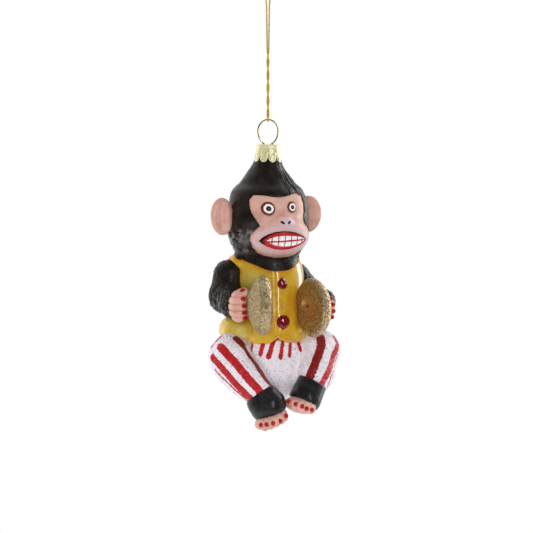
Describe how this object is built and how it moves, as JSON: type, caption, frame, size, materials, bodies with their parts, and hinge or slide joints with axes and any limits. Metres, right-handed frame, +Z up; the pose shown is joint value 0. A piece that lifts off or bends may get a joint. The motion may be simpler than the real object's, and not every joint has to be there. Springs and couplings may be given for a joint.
{
  "type": "hanging glass cymbal monkey ornament",
  "caption": "Hollow glass seated monkey in a vest and striped trousers holding two cymbals, hung by a crown cap, wire ring and thread loop.",
  "frame": {"origin": "underside of the top of the hanging thread loop, where a hook bears", "axes": "+Z up along the hanging line; the figure faces -Y; its left arm is at +X"},
  "size_m": [0.0609, 0.0528, 0.1941],
  "materials": {
    "fur_glaze": "near-black brown gloss lacquer over moulded hair",
    "skin_paint": "satin peach paint with a lilac bloom",
    "red_paint": "gloss red paint",
    "white_paint": "gloss white paint",
    "vest_glaze": "pearly golden yellow lacquer",
    "glitter_white": "white lacquer with fine glitter and red brushed stripes",
    "glitter_gold": "gold glitter on lacquer",
    "gem_red": "faceted deep red gem",
    "black_lacquer": "black gloss lacquer",
    "bare_glass": "clear glass, silvered inside",
    "cap_gold": "pale gold embossed tinplate",
    "wire_gold": "bright drawn wire",
    "thread_gold": "twisted yarn of metallised polyester"
  },
  "bodies": {
    "thread": {"hanging_thread": "thread_gold", "thread_knot": "thread_gold"},
    "bight": {"thread_bight": "thread_gold"},
    "hanger": {"wire_hanger": "wire_gold"},
    "cap": {"crown_cap": "cap_gold"},
    "figure": {"glass_neck": "bare_glass", "head_shell": "fur_glaze", "face_mask": "skin_paint", "lips": "red_paint", "teeth": "white_paint", "left_eye": "white_paint", "right_eye": "white_paint", "left_ear": "skin_paint", "right_ear": "skin_paint", "torso_shell": "vest_glaze", "upper_button": "gem_red", "lower_button": "gem_red", "left_arm": "fur_glaze", "right_arm": "fur_glaze", "left_hand": "skin_paint", "right_hand": "skin_paint", "left_cymbal": "glitter_gold", "right_cymbal": "glitter_gold", "finger_nails": "red_paint", "trouser_seat": "glitter_white", "left_leg": "glitter_white", "right_leg": "glitter_white", "left_cuff": "black_lacquer", "right_cuff": "black_lacquer", "left_foot": "skin_paint", "right_foot": "skin_paint", "toe_nails": "red_paint"}
  },
  "joints": [
    {"name": "thread_swing", "type": "hinge", "parent": "thread", "child": "bight", "pos_m": [0, 0, -0.06265], "axis": [0.9272, -0.3746, 0], "range_deg": [-45, 45]},
    {"name": "ring_slide", "type": "hinge", "parent": "bight", "child": "hanger", "pos_m": [0, 0, -0.0669], "axis": [0.3746, 0.9272, 0], "range_deg": [-40, 40]},
    {"name": "hanger_tilt", "type": "hinge", "parent": "hanger", "child": "cap", "pos_m": [0, 0, -0.07335], "axis": [0.9272, -0.3746, 0], "range_deg": [-5, 5]},
    {"name": "cap_pull_off", "type": "slide", "parent": "cap", "child": "figure", "axis": [0, 0, -1], "range_m": [0, 0.012]}
  ]
}
